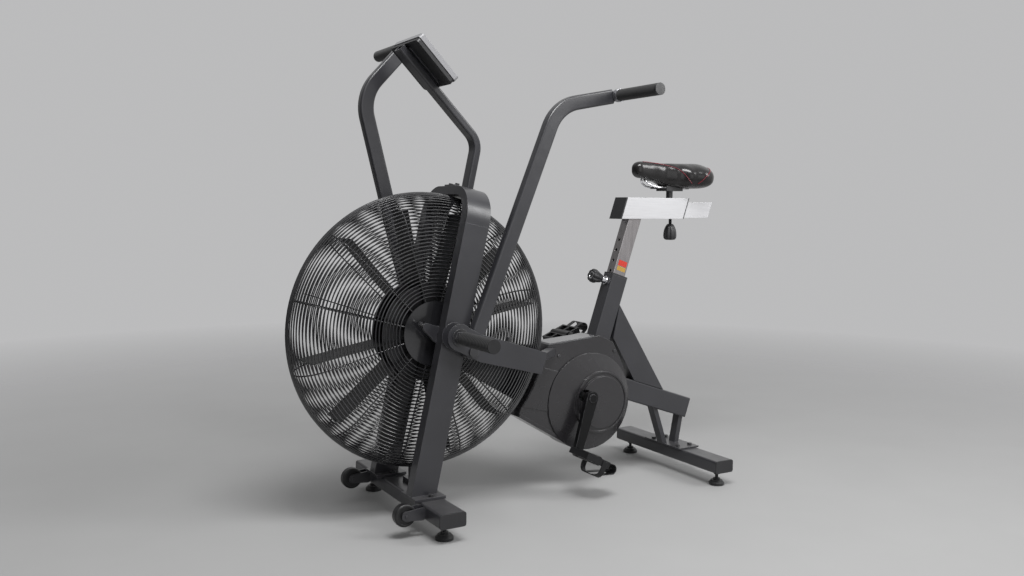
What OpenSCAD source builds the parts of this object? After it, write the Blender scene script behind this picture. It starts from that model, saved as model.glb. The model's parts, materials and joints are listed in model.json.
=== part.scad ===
// Air bike: a fan in a wire cage gives the resistance, the two handles swing
// against each other and the seat slides up its tube and along its rail.
// Millimetres. +X points to the rear, +Y to the rider's right, +Z up.
// The floor is Z = 0 and the frame is symmetric about Y = 0.
// Modules build the +Y side of a pair and mirror it.

/* [Stabilisers] */
// Distance from the origin forward to the front stabiliser
front_x = 384; // [375:1:392]
// Distance from the origin back to the rear stabiliser
rear_x = 600; // [595:1:605]
// Half length of the front stabiliser tube
front_half = 296; // [280:1:310]
// Half length of the rear stabiliser tube
rear_half = 256; // [240:1:270]
// Width of the front stabiliser tube along X
front_w = 77; // [70:1:84]
// Width of the rear stabiliser tube along X
rear_w = 71; // [66:1:76]
// Height of both stabiliser tubes
stab_h = 40; // [36:1:42]
// Height of the underside of the stabiliser tubes
stab_z = 45; // [43:1:48]
// Distance of the front feet from the centre plane
front_foot_y = 248; // [235:1:255]
// Distance of the rear feet from the centre plane
rear_foot_y = 225; // [205:1:235]
// Radius of the rubber foot pads
foot_r = 25; // [20:1:28]

/* [Transport wheels] */
// Radius of the transport wheels
wheel_r = 31; // [28:1:36]
// Width of the transport wheels
wheel_w = 24; // [20:1:28]
// Distance of the wheels from the centre plane
wheel_y = 195; // [185:1:205]

/* [Fork] */
// Lean of the fork towards the rear, in degrees
fork_lean = 12.25; // [12:0.05:12.5]
// Half width of the fork over its legs
fork_half = 150; // [150:1:152]
// Width of a fork leg along Y
leg_w = 36; // [34:1:38]
// Depth of the fork tubes along X
fork_depth = 74; // [68:1:76]
// Height of the crown's top face along the leaning fork
fork_top = 954; // [952:1:962]
// Thickness of the crown
crown_t = 25; // [20:1:26]
// Outer corner radius of the fork's shoulders
shoulder_r = 92; // [80:1:100]

/* [Fan and cage] */
// Height of the fan axle
fan_z = 528; // [524:1:532]
// Distance from the origin forward to the fan axle
fan_x = 336; // [334:1:338]
// Radius where the flat side of the cage ends
cage_flat_r = 310; // [300:1:312]
// Half width of the cage over its wires
cage_half = 84; // [80:1:84]
// Distance between neighbouring cage rings
ring_pitch = 10; // [9:0.5:16]
// Radius of the cage wire
wire_r = 2; // [1.5:0.1:2.2]
// Number of radial wires on each side of the cage
spokes = 12; // [8:1:16]
// Number of fan paddles
paddles = 12; // [8:1:16]
// Radius of the fan over its paddles
paddle_r = 350; // [330:1:360]
// Half width of a paddle along Y
paddle_half = 55; // [45:1:55]
// Radius of the fan's side discs
disc_r = 135; // [110:1:145]

/* [Side arms and pegs] */
// Width of the side arms along Y
arm_w = 40; // [38:1:44]
// Radius of the rubber sleeves on the foot pegs
sleeve_r = 19; // [16:1:20]
// Distance of the peg ends from the centre plane
peg_end = 378; // [360:1:380]

/* [Handles] */
// Lean of the rear handle at rest, in degrees
handle_lean = 21.9; // [20:0.1:23]
// Length from the handle pivot to its corner
handle_len = 736; // [715:1:740]
// Angle of the handle's bend
handle_bend = 56.6; // [50:0.1:60]
// Radius of the handle's bend
bend_r = 120; // [90:1:150]
// Length of the top of the handle from its corner
handle_top = 186; // [170:1:200]
// Depth of the handle tube in its own plane
handle_d = 42; // [38:1:44]
// Width of the handle tube along Y
handle_w = 28; // [26:1:30]
// Swing between the rear and the front handle, in degrees
swing = 36; // [30:1:36]
// Radius of the rubber grips
grip_r = 17; // [15:1:18]
// Distance of the grip ends from the centre plane
grip_end = 380; // [360:1:382]

/* [Console] */
// Tilt of the console's face from level, in degrees
console_tilt = 45.5; // [40:0.5:50]
// Half width of the console
console_half = 90; // [80:1:95]
// Half height of the console
console_v = 78; // [70:1:82]
// Thickness of the console
console_t = 27; // [25:1:30]

/* [Crank and drive] */
// Distance from the origin back to the crank axis
crank_x = 198; // [194:1:202]
// Height of the crank axis
crank_z = 295; // [292:1:298]
// Length of a crank arm
crank_len = 172; // [165:1:173]
// Angle of the left crank arm forward of straight down
crank_angle = 17; // [0:1:30]
// Radius of the crank pulley
crank_pulley_r = 108; // [100:1:110]
// Radius of the small pulley on the jackshaft
jack_small_r = 26; // [22:1:28]
// Radius of the large pulley on the jackshaft
jack_large_r = 60; // [50:1:62]
// Radius of the pulley on the fan
fan_pulley_r = 26; // [22:1:28]
// Turn of the left pedal about its spindle, in degrees
left_pedal_turn = 207; // [0:1:360]
// Turn of the right pedal about its spindle, in degrees
right_pedal_turn = 157; // [0:1:360]

/* [Case] */
// Half width of the drive case
case_half = 36; // [35:0.5:38]
// Wall of the plastic case
case_t = 3; // [2:0.5:3]
// Radius of the drum at the end of the case
drum_r = 155; // [150:1:158]

/* [Seat] */
// Lean of the seat tube towards the rear, in degrees
seat_lean = 18.6; // [18:0.1:19]
// Distance between the holes in the seat post
hole_pitch = 35; // [30:1:40]
// Height of the underside of the seat rail
rail_z = 847; // [840:1:860]
// Height of the seat rail tube
rail_h = 68; // [60:1:70]
// Half width of the seat rail tube
rail_half = 30; // [28:1:32]
// Rear end of the sliding tube, from the origin
slider_end = 730; // [720:1:740]

/* [Hidden] */
$fn = 48;
wall = 3;                    // wall of the square steel tubes
fit = 0.05;                  // radial clearance of a running fit
slip = 0.3;                  // clearance beside a sliding piece
tiny = 0.02;                 // clearance of a pressed or bolted fit
big = 3000;                  // size of a cutting block

stab_top = stab_z + stab_h;
foot_stud_r = 5;
flange_t = 8;
fork_foot_x = fan_x + 81.7;  // where the fork's middle line meets the floor
leg_in = fork_half - leg_w;
leg_split = 850;             // height along the fork where legs meet crown
fan = [-fan_x, fan_z];
cage_wire_r = cage_half - wire_r;             // middle of the side wires
wire_sides = 8;               // the cage rings' wire is drawn as an octagon
cage_r = cage_flat_r + cage_half;             // outer radius of the cage
case_gap_r = cage_r + 9;                      // front of the case round the cage
hub_disc_r = 91;
axle_r = 8;
hub_r = 30;
hub_half = 56;
axle_end_r = 6;
paddle_turn = 11;

peg = [-309, 528];           // foot peg and arm bolt
pivot = [-268, 485];         // handle pivot
arm_in = fork_half;
arm_out = arm_in + arm_w;
plate_t = 4;
pin_r = 8;
peg_bolt_r = 5;
arm_pts = [[-212, 447], [-49, 406], [-30, 467], [-212, 523]];
ear_pts = [[-212, 447], [-212, 523], [-245, 533], [-301, 564], [-325, 495], [-246, 456]];
link_w = 24;
link_z = 440;
link_a = [-42, 150];         // link ends in plan, at the arm and at the plates
link_b = [83, 36];

handle_in = 156;             // inner face of the handle tube
bend_run = bend_r * tan(handle_bend / 2);
bar_r = 16;
collar = [186, 200];         // span of the grip's metal collar
grip_cap = 8;

mast_w = 40;
mast_d = 22;
mast_x = 24;                 // along the crown from its middle
mast_plate_t = 5;
mast_rise = 140;
mast_top = 346;
mast_r = 60;
mast_bend = fork_lean + 90 - console_tilt;
mast_run = mast_r * tan(mast_bend / 2);
console_at = 269;            // along the top of the mast from its corner
console_plate_t = 4;
button_r = 8;
button_rows = [-44, 0, 44];

crank = [crank_x, crank_z];
jack = [58, 330];
pin_off = crank_len * [-sin(crank_angle), -cos(crank_angle)];
crank_shaft_r = 10;
jack_shaft_r = 8;
arm_face = 84;               // inner face of the crank arms
arm_t = 16;
spindle_r = 7;
pedal_in = 112;
pedal_out = 205;
pedal_mid = (pedal_in + pedal_out) / 2;
pedal_half = 45;
pedal_t = 20;
belt_t = 3;
belt_half = 8;
fan_belt_y = [61.5, 69.5];       // the fan belt's run beside the paddles
guard_y = [57, 74];
guard_r_jack = jack_large_r + 8;
guard_r_fan = fan_pulley_r + 10;
guard_t = 2;

drum = [227, 273];
disc = [262, 270];           // raised disc on the drum, off the crank's centre
disc_cover_r = 96;
panel_t = 3;                 // height of the raised panel on the case's side
case_pts = [[-32, 249], [170, 129], drum, [382, 300], [358, 380], [318, 455], [267, 479], [214, 472],
    [74, 461], [-20, 278]];
plate_pts = [[30, 340], [30, 300], [60, 250], [150, 180], [260, 170], [330, 200], [364, 262],
    [358, 330], [334, 390], [302, 448], [262, 464], [205, 460], [78, 447], [60, 400]];
frame_plate = [25, 30];      // inner and outer face of a frame plate
panel_pts = [[-40, 284], [175, 231], [240, 231], [240, 338], [189, 353], [61, 391], [40, 420]];

seat_top = [351, 662];       // middle of the seat tube's top
seat_tube_d = 62;
seat_tube_w = 50;
seat_tube_len = 266;
post_d = 50;
post_w = 38;
post_x = -2;                 // the post sits a little to the front of its tube
post_in = 130;
bush_t = 3;
bush_len = 70;
pin_at = -24;
pop_pin_r = 4.8;
pin_tip = post_d / 2 - post_x + 0.4;   // the pin's tip stands just clear of the post
gusset_pts = [[328, 466], [416, 320], [538, 279], [351, 571]];
tail_end = [647, 206];
tail_lean = 18.7;
tail_h = 68;
tail_len = 318;
rail_front = 349;
rail_rear = 601;
slant = tan(seat_lean);
slider_h = 52;
stem_x = 566;
stem_r = 11;
knob_x = 572;
strut_w = 30;
strut_t = 16;

wheel_x = -front_x - 93;
handle_mid = handle_in + handle_w / 2;
// Middle of the grip bar in the handle's own frame
grip_at = [0, handle_len] + (handle_top + bar_r + 3) * [sin(handle_bend), cos(handle_bend)];

black = [0.06, 0.06, 0.065];
coat = [0.17, 0.17, 0.185];
steel = [0.72, 0.72, 0.74];
silver = [0.82, 0.82, 0.84];
rubber = [0.05, 0.05, 0.05];

// ---------- helpers ----------

function heading(a) = [cos(a), sin(a)];

// Corners of an outline moved inwards by d; the outline runs anticlockwise
function inset(p, d) = [for (i = [0 : len(p) - 1])
    let (a = p[(i + len(p) - 1) % len(p)], b = p[i], c = p[(i + 1) % len(p)],
        u = (b - a) / norm(b - a), v = (c - b) / norm(c - b),
        m = [-u[1] - v[1], u[0] + v[0]], k = 1 + u * v)
    b + m * d / k];

module both() {
    children();
    mirror([0, 1, 0]) children();
}

// Extrudes an outline drawn in X and Z from y0 to y1
module span(y0, y1) {
    translate([0, y1, 0]) rotate([90, 0, 0]) linear_extrude(y1 - y0) children();
}

// A cylinder along Y at p = [x, z]
module pin(p, r, y0, y1) {
    translate([p[0], y0, p[1]]) rotate([-90, 0, 0]) cylinder(r = r, h = y1 - y0);
}

// Hexagon head or nut along Y
module hex(p, r, y0, y1) {
    translate([p[0], y0, p[1]]) rotate([-90, 0, 0]) cylinder(r = r, h = y1 - y0, $fn = 6);
}

// Rounded rectangle
module slab(w, h, r) {
    square([w - 2 * r, h], center = true);
    square([w, h - 2 * r], center = true);
    for (x = [-1, 1], y = [-1, 1]) translate([x * (w / 2 - r), y * (h / 2 - r)]) circle(r);
}

module tube_section(w, h, r, t) {
    difference() {
        slab(w, h, r);
        slab(w - 2 * t, h - 2 * t, r - t / 2);
    }
}

// Two circles joined by their outer tangents
module pill(a, ra, b, rb) {
    d = norm(b - a);
    base = atan2(b[1] - a[1], b[0] - a[0]);
    turn = acos((ra - rb) / d);
    translate(a) circle(ra);
    translate(b) circle(rb);
    polygon([a + ra * heading(base + turn), a + ra * heading(base - turn),
        b + rb * heading(base - turn), b + rb * heading(base + turn)]);
}

// Upright arch with rounded top corners, standing on the X axis
module arch(half, top, r) {
    translate([-half, 0]) square([2 * half, top - r]);
    translate([r - half, 0]) square([2 * (half - r), top]);
    for (s = [-1, 1]) translate([s * (half - r), top - r]) circle(r);
}

// Turns an outline's X to Y and its Y to Z, and extrudes it along X
module across(x0, x1) {
    translate([x0, 0, 0]) rotate([90, 0, 90]) linear_extrude(x1 - x0) children();
}

// Bends the children's section towards +X, starting upwards at the origin
module bend(r, a) {
    translate([r, 0, 0]) rotate([-90, 0, 0]) rotate([0, 0, 180])
        rotate_extrude(angle = a) translate([r, 0]) children();
}

// Moves the children to the end of such a bend
module after_bend(r, a) {
    translate([r * (1 - cos(a)), 0, r * sin(a)]) rotate([0, a, 0]) children();
}

module upright_bolt(x, y, z, r, h) {
    translate([x, y, z]) cylinder(r = r, h = h, $fn = 6);
}

// ---------- stabilisers, feet and wheels ----------

module stabiliser_tube(x, half, w) {
    translate([x, -half, stab_z + stab_h / 2]) rotate([-90, 0, 0])
        linear_extrude(2 * half) tube_section(w, stab_h, 7, 2.5);
}

module stud_hole(x, y) {
    translate([x, y, stab_z - 1]) cylinder(r = foot_stud_r + fit, h = 10);
}

module wheel_ears() {
    for (y = [wheel_y - wheel_w / 2 - 5, wheel_y + wheel_w / 2 + 1])
        span(y, y + plate_t) difference() {
            pill([wheel_x, 65], 13, [-front_x - front_w / 2 - 10, 65], 17);
            translate([-front_x - front_w / 2, 0]) square([60, 120]);
        }
    pin([wheel_x, 65], 4, wheel_y - wheel_w / 2 - 8, wheel_y + wheel_w / 2 + 8);
}

module front_stabiliser() {
    color(coat) {
        difference() {
            stabiliser_tube(-front_x, front_half, front_w);
            both() stud_hole(-front_x, front_foot_y);
        }
        both() wheel_ears();
        translate([-378, -38, stab_top]) cube([40, 76, 12]);
        difference() {
            translate([-374, -8, stab_top]) cube([32, 16, 60]);
            pin(fan, cage_r + tiny, -50, 50);
        }
    }
}

module rear_stabiliser() {
    color(coat) difference() {
        stabiliser_tube(rear_x, rear_half, rear_w);
        both() stud_hole(rear_x, rear_foot_y);
    }
}

module stabiliser_cap(x, half, w) {
    translate([x, half, stab_z + stab_h / 2]) rotate([-90, 0, 0]) {
        linear_extrude(4) slab(w, stab_h, 7);
        translate([0, 0, -18]) linear_extrude(18) slab(w - 5.4, stab_h - 5.4, 5);
    }
}

module tube_end_caps() {
    color(black) both() {
        stabiliser_cap(-front_x, front_half, front_w);
        stabiliser_cap(rear_x, rear_half, rear_w);
        arm_cap();
    }
}

module foot(x, y) {
    color(rubber) translate([x, y, 0]) {
        cylinder(r = foot_r, h = 7);
        translate([0, 0, 7]) cylinder(r1 = foot_r, r2 = foot_r - 7, h = 8);
        translate([0, 0, 15]) cylinder(r = 11, h = 6);
        translate([0, 0, 21]) cylinder(r = foot_stud_r, h = 40);
        translate([0, 0, 34]) cylinder(r = 10, h = stab_z - 34.3, $fn = 6);
    }
}

module foot_front_left() { foot(-front_x, -front_foot_y); }
module foot_front_right() { foot(-front_x, front_foot_y); }
module foot_rear_left() { foot(rear_x, -rear_foot_y); }
module foot_rear_right() { foot(rear_x, rear_foot_y); }

module wheel(y) {
    color(rubber) translate([wheel_x, y, 65]) rotate([90, 0, 0]) difference() {
        union() {
            rotate_extrude() translate([wheel_r / 2, 0]) slab(wheel_r, wheel_w, 5);
            cylinder(r = 12, h = wheel_w + 1, center = true);
        }
        cylinder(r = 4 + fit, h = 60, center = true);
        for (s = [-1, 1]) translate([0, 0, s * wheel_w / 2]) difference() {
            cylinder(r = 24, h = 6, center = true);
            cylinder(r = 12, h = 8, center = true);
        }
    }
}

module wheel_left() { wheel(-wheel_y); }
module wheel_right() { wheel(wheel_y); }

// ---------- fork ----------

module fork_frame() {
    translate([-fork_foot_x, 0, 0]) rotate([0, fork_lean, 0]) children();
}

module fork_band(d) {
    fork_frame() across(d - fork_depth / 2, fork_depth / 2 - d) difference() {
        arch(fork_half - d, fork_top - d, shoulder_r - d);
        translate([0, -1]) arch(leg_in + d, fork_top - crown_t + 1 + d, shoulder_r - leg_w + d);
    }
}

module axle_bracket() {
    difference() {
        span(leg_in - 10, leg_in + 1) {
            pill(fan, 24, [peg[0] + 12, peg[1] - 10], 22);
            pill(fan, 22, [fan[0] - 38, fan[1] + 23], 11);
        }
        pin(fan, axle_end_r + tiny, 90, 130);
        tension_screw(tiny);
    }
}

module tension_screw(d) {
    translate([fan[0], leg_in - 5, fan[1]]) rotate([0, -59, 0])
        translate([0, 0, 34]) cylinder(r = 3.5 + d, h = 26);
}

module fork_legs() {
    color(coat) both() {
        difference() {
            intersection() {
                fork_band(0);
                translate([-800, 0, stab_top + flange_t]) cube([800, 400, 1000]);
                fork_frame() translate([-100, 0, 0]) cube([200, 400, leg_split]);
            }
            fork_band(wall);
            pin(peg, peg_bolt_r + tiny, fork_half - 10, fork_half + 10);
        }
        difference() {
            translate([-437, 86, stab_top]) cube([92, 92, flange_t]);
            for (y = [98, 166]) translate([-front_x, y, 0]) cylinder(r = 6, h = 200);
        }
        axle_bracket();
    }
}

module fork_crown() {
    color(coat) difference() {
        intersection() {
            fork_band(0);
            fork_frame() translate([-100, -400, leg_split]) cube([200, 800, 400]);
        }
        fork_band(wall);
    }
}

// ---------- fan and cage ----------

module fan_frame() {
    translate([-fan_x, 0, fan_z]) rotate([-90, 0, 0]) children();
}

module cage_ring(r, z) {
    rotate_extrude() translate([r, z]) circle(wire_r, $fn = wire_sides);
}

module cage_spoke(a) {
    d = cage_wire_r - 2 * wire_r - 0.1;
    rotate([0, 0, a]) {
        translate([70, 0, d]) rotate([0, 90, 0]) cylinder(r = wire_r, h = cage_flat_r - 70 - slip);
        translate([cage_flat_r, 0, 0]) rotate([90, 0, 0]) rotate([0, 0, 2])
            rotate_extrude(angle = 88) translate([d, 0]) circle(wire_r);
    }
}

module cage_wires() {
    step = ring_pitch / cage_wire_r * 180 / PI;
    for (a = [3 : step : 90])
        cage_ring(cage_flat_r + cage_wire_r * cos(a), cage_wire_r * sin(a));
    for (r = [cage_flat_r - 6 : -ring_pitch : hub_disc_r + 6]) cage_ring(r, cage_wire_r);
    for (i = [0 : spokes - 1]) cage_spoke((i + 0.5) * 360 / spokes);
}

module cage_disc() {
    difference() {
        translate([0, 0, cage_half - 4]) cylinder(r = hub_disc_r, h = 4);
        cylinder(r = 13, h = 200);
    }
}

module fan_cage_left() {
    color(black) mirror([0, 1, 0]) fan_frame() {
        cage_wires();
        cage_disc();
    }
}

module fan_cage_right() {
    color(black) difference() {
        fan_frame() {
            cage_wires();
            cage_disc();
        }
        span(guard_y[0] - 1.5, guard_y[1] + 1.5) pill(jack, guard_r_jack + 2, fan, guard_r_fan + 2);
    }
}

module fan_axle() {
    color(steel) {
        pin(fan, axle_r, -cage_half - 2, cage_half + 2);
        both() {
            hex(fan, 12, cage_half + 2, leg_in - 10);
            pin(fan, axle_end_r, leg_in - 10, leg_in - 1);
        }
    }
}

module fan_hub() {
    color(black) difference() {
        union() {
            pin(fan, hub_r, -hub_half, hub_half);
            both() pin(fan, disc_r, 38, 41);
            pin(fan, 14, hub_half, fan_belt_y[1] + 1);
            pin(fan, fan_pulley_r, fan_belt_y[0], fan_belt_y[1]);
        }
        pin(fan, axle_r + fit, -100, 100);
    }
}

module fan_blades() {
    color(steel) difference() {
        fan_frame() for (i = [0 : paddles - 1]) rotate([0, 0, -paddle_turn - i * 360 / paddles])
            translate([24, -0.8, -paddle_half]) cube([paddle_r - 24, 1.6, 2 * paddle_half]);
        pin(fan, hub_r, -100, 100);
        both() pin(fan, disc_r, 38, 41);
    }
}

module belt_guard() {
    color(coat) difference() {
        union() {
            span(guard_y[0], guard_y[1]) pill(jack, guard_r_jack, fan, guard_r_fan);
            pin(jack, 24, case_half + panel_t, guard_y[0]);
        }
        span(guard_y[0] + guard_t, guard_y[1] - guard_t)
            pill(jack, guard_r_jack - guard_t, fan, guard_r_fan - guard_t);
        pin(jack, 21, 0, guard_y[0] + guard_t);
        pin(fan, 18, 0, 100);
    }
}

// ---------- side arms, pegs and handles ----------

module arm_bores() {
    pin(pivot, pin_r + tiny, 100, 300);
    pin(peg, peg_bolt_r + tiny, 100, 300);
}

module side_arm() {
    difference() {
        union() {
            for (y = [arm_in, arm_out - plate_t]) span(y, y + plate_t) {
                polygon(arm_pts);
                polygon(ear_pts);
                translate(peg) circle(37);
            }
            span(arm_in, arm_out) difference() {
                polygon(arm_pts);
                polygon([arm_pts[0] + [-9, 4], arm_pts[1] + [9, 1], arm_pts[2] + [9, -7],
                    arm_pts[3] + [-9, -1]]);
            }
        }
        arm_bores();
    }
    intersection() {
        translate([link_a[0], link_a[1], link_z - link_w / 2])
            rotate([0, 0, atan2(link_b[1] - link_a[1], link_b[0] - link_a[0])])
                translate([-60, -link_w / 2, 0]) cube([320, link_w, link_w]);
        translate([-200, frame_plate[1], 0]) cube([600, arm_in - frame_plate[1], 900]);
    }
}

module side_arms() {
    color(coat) both() side_arm();
}

module arm_cap() {
    end = arm_pts[2] - arm_pts[1];
    along = [end[1], -end[0]] / norm(end);
    span(arm_in, arm_out) polygon([arm_pts[1], arm_pts[1] + 4 * along, arm_pts[2] + 4 * along,
        arm_pts[2]]);
}

module foot_pegs() {
    color(steel) both() {
        pin(peg, peg_bolt_r, fork_half - 4, arm_out);
        pin(peg, 24, arm_out, arm_out + 3);
        hex(peg, 17, arm_out + 3, arm_out + 9);
        pin(peg, 12, arm_out + 9, peg_end - 8);
    }
}

module peg_sleeves() {
    color(rubber) both() difference() {
        pin(peg, sleeve_r, arm_out + 25, peg_end);
        pin(peg, 12 + tiny, arm_out, peg_end - 8 + tiny);
    }
}

module handle_section() {
    tube_section(handle_d, handle_w, 6, 2.5);
}

// The right handle in its own frame: pivot at the origin, tube upwards
module handle_tube() {
    difference() {
        union() {
            difference() {
                union() {
                    linear_extrude(handle_len - bend_run) slab(handle_d, handle_w, 6);
                    span(-handle_w / 2, handle_w / 2) circle(handle_d / 2);
                }
                translate([0, 0, 34]) linear_extrude(handle_len) slab(handle_d - 5, handle_w - 5, 4);
            }
            translate([0, 0, handle_len - bend_run]) {
                bend(bend_r, handle_bend) handle_section();
                after_bend(bend_r, handle_bend) {
                    linear_extrude(handle_top - bend_run) handle_section();
                    translate([0, 0, handle_top - bend_run]) linear_extrude(4) slab(handle_d, handle_w, 6);
                }
            }
        }
        pin([0, 0], pin_r + fit, -50, 50);
    }
}

module grip_bar() {
    pin(grip_at, bar_r, -handle_w / 2, collar[0] - handle_mid);
    pin(grip_at, 11, collar[0] - handle_mid, grip_end - grip_cap - handle_mid);
    translate([grip_at[0], 0, grip_at[1]]) rotate([0, handle_bend, 0])
        translate([-14, -handle_w / 2, -bar_r - 4]) cube([28, handle_w, bar_r + 2]);
}

// Places a piece of the right handle, leaned by a degrees from upright
module handle_place(a) {
    translate([pivot[0], handle_mid, pivot[1]]) rotate([0, a, 0]) children();
}

module handle_parts(a) {
    color(coat) handle_place(a) {
        difference() {
            handle_tube();
            pin(grip_at, bar_r, -50, 50);
        }
        grip_bar();
    }
}

module grip_parts(a) {
    color(rubber) handle_place(a) difference() {
        pin(grip_at, grip_r, collar[1] - handle_mid, grip_end - grip_cap - handle_mid);
        pin(grip_at, 11 + tiny, 0, 400);
    }
}

module grip_fittings(a) {
    color(silver) handle_place(a) {
        difference() {
            pin(grip_at, grip_r + 2, collar[0] - handle_mid, collar[1] - handle_mid);
            pin(grip_at, 11 + tiny, 0, 400);
        }
        pin(grip_at, grip_r, grip_end - grip_cap - handle_mid, grip_end - handle_mid);
    }
}

module handle_left() { mirror([0, 1, 0]) handle_parts(handle_lean); }
module grip_left() { mirror([0, 1, 0]) grip_parts(handle_lean); }
module grip_caps_left() { mirror([0, 1, 0]) grip_fittings(handle_lean); }
module handle_right() { handle_parts(handle_lean - swing); }
module grip_right() { grip_parts(handle_lean - swing); }
module grip_caps_right() { grip_fittings(handle_lean - swing); }

// ---------- mast and console ----------

module mast_section() {
    tube_section(mast_d, mast_w, 5, 2.5);
}

// The mast's frame after its bend, with +Z along the top of the mast
module mast_upper() {
    fork_frame() translate([mast_x, 0, fork_top + mast_plate_t + mast_rise - mast_run])
        mirror([1, 0, 0]) after_bend(mast_r, mast_bend) mirror([1, 0, 0]) children();
}

// The console's frame: +Z out of its face, +X down its face
module console_frame() {
    mast_upper() translate([mast_d / 2 + console_plate_t, 0, console_at - mast_run])
        rotate([0, 90, 0]) children();
}

module mast() {
    color(coat) {
        fork_frame() {
            translate([-34, -32, fork_top]) cube([68, 64, mast_plate_t]);
            translate([mast_x, 0, fork_top + mast_plate_t]) linear_extrude(mast_rise - mast_run)
                mast_section();
            translate([mast_x, 0, fork_top + mast_plate_t + mast_rise - mast_run])
                mirror([1, 0, 0]) bend(mast_r, mast_bend) mast_section();
        }
        mast_upper() linear_extrude(mast_top - mast_run) mast_section();
        console_frame() translate([-62, -30, -console_plate_t]) cube([124, 60, console_plate_t]);
    }
}

module console_back() {
    color(black) console_frame() {
        linear_extrude(12) slab(2 * console_v - 4, 2 * console_half - 4, 10);
    }
}

module console_bezel() {
    color(silver) console_frame() difference() {
        translate([0, 0, 12]) linear_extrude(console_t - 12) slab(2 * console_v, 2 * console_half, 8);
        translate([-18, 0, console_t - 4]) linear_extrude(10) slab(86, 140, 5);
        for (y = button_rows) translate([48, y, 14]) cylinder(r = button_r + slip, h = 30);
    }
}

module console_display() {
    color([0.10, 0.13, 0.12]) console_frame()
        translate([-18, 0, console_t - 4]) linear_extrude(3) slab(85.6, 139.6, 4.8);
}

module console_button(y) {
    color(black) console_frame() translate([48, y, 16.5]) {
        cylinder(r = button_r, h = console_t - 16.5 + 1);
        translate([0, 0, console_t - 15.5]) cylinder(r1 = button_r, r2 = button_r - 1.5, h = 1.5);
    }
}

module button_left() { console_button(button_rows[0]); }
module button_middle() { console_button(button_rows[1]); }
module button_right() { console_button(button_rows[2]); }

// ---------- drive ----------

module crank_axle() {
    color(steel) {
        pin(crank, crank_shaft_r, -arm_face, arm_face);
        difference() {
            pin(crank, crank_pulley_r, -9, 9);
            for (a = [0 : 60 : 300]) pin(crank + 66 * heading(a), 24, -20, 20);
            both() span(5, 20) difference() {
                translate(crank) circle(crank_pulley_r - 8);
                translate(crank) circle(26);
            }
        }
    }
}

module crank_arm(s) {
    span(arm_face, arm_face + arm_t) pill(crank, 21, crank + s * pin_off, 14);
    pin(crank, 15, arm_face - 14, arm_face);
    pin(crank, 13, arm_face + arm_t, arm_face + arm_t + 4);
}

module spindle(s) {
    pin(crank + s * pin_off, spindle_r, arm_face + arm_t, pedal_out - 6);
    hex(crank + s * pin_off, 10, arm_face + arm_t, pedal_in - 4);
}

module crank_arms() {
    color(black) difference() {
        union() {
            crank_arm(-1);
            mirror([0, 1, 0]) crank_arm(1);
        }
        pin(crank, crank_shaft_r + tiny, -arm_face - tiny, arm_face + tiny);
    }
    color(steel) {
        spindle(-1);
        mirror([0, 1, 0]) spindle(1);
    }
}

// Pedal frame: spindle along Y at the origin, foot on +Z, toe towards -X
module pedal_body() {
    difference() {
        union() {
            span(pedal_in, pedal_out) circle(14);
            translate([-pedal_half, pedal_in, -pedal_t / 2]) cube([2 * pedal_half, pedal_out - pedal_in, pedal_t]);
        }
        pin([0, 0], spindle_r + fit, 0, pedal_out - 5);
        for (s = [-1, 1], y = [pedal_in + 9, pedal_mid + 4])
            translate([s * 27 - 12, y, -40]) cube([24, pedal_out - pedal_mid - 13, 80]);
    }
}

module toe_cage() {
    strap = (pedal_out - pedal_in) / 2;
    for (y = [pedal_mid - 30, pedal_mid + 14]) span(y, y + 16) difference() {
        pill([-74, 6], 16, [-20, 20], 24);
        pill([-74, 6], 13.5, [-20, 20], 21.5);
        translate([-20, -60]) square([90, 140]);
        translate([-pedal_half, -60]) square([90, 60 + pedal_t / 2 + 2]);
    }
    span(pedal_mid - 30, pedal_mid + 30) difference() {
        pill([-74, 6], 16, [-20, 20], 24);
        pill([-74, 6], 13.5, [-20, 20], 21.5);
        translate([-78, -60]) square([90, 140]);
    }
    translate([-34, pedal_mid, -6]) across(0, 18) difference() {
        arch(strap + 2.5, 52, 24);
        arch(strap + tiny, 49, 21.5);
    }
}

module pedal_place(s, turn) {
    p = crank + s * pin_off;
    translate([p[0], 0, p[1]]) rotate([0, turn, 0]) children();
}

module pedal_left() {
    color(black) mirror([0, 1, 0]) pedal_place(1, left_pedal_turn) pedal_body();
}

module toe_cage_left() {
    color(black) mirror([0, 1, 0]) pedal_place(1, left_pedal_turn) toe_cage();
}

module pedal_right() {
    color(black) pedal_place(-1, right_pedal_turn) pedal_body();
}

module toe_cage_right() {
    color(black) pedal_place(-1, right_pedal_turn) toe_cage();
}

module jackshaft() {
    color(steel) {
        pin(jack, jack_shaft_r, case_t + 2 * slip - case_half, fan_belt_y[1] + 2);
        pin(jack, jack_small_r, -belt_half - 2, belt_half + 2);
        pin(jack, jack_large_r, fan_belt_y[0], fan_belt_y[1]);
    }
}

module belt(a, ra, b, rb, y0, y1) {
    span(y0, y1) difference() {
        pill(a, ra + slip + belt_t, b, rb + slip + belt_t);
        pill(a, ra + slip, b, rb + slip);
    }
}

module belts() {
    color(rubber) {
        belt(crank, crank_pulley_r, jack, jack_small_r, -belt_half, belt_half);
        belt(jack, jack_large_r, fan, fan_pulley_r, fan_belt_y[0] + 0.5, fan_belt_y[1] - 0.5);
    }
}

module bearing(p, r_out, r_in) {
    difference() {
        pin(p, r_out, frame_plate[0] - 1, frame_plate[1] + 1);
        pin(p, r_in + fit, 0, 60);
    }
}

module shaft_bearings() {
    color(steel) both() {
        bearing(crank, 18, crank_shaft_r);
        bearing(jack, 14, jack_shaft_r);
    }
}

// ---------- frame and case ----------

module seat_frame() {
    translate([seat_top[0], 0, seat_top[1]]) rotate([0, seat_lean, 0]) children();
}

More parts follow.
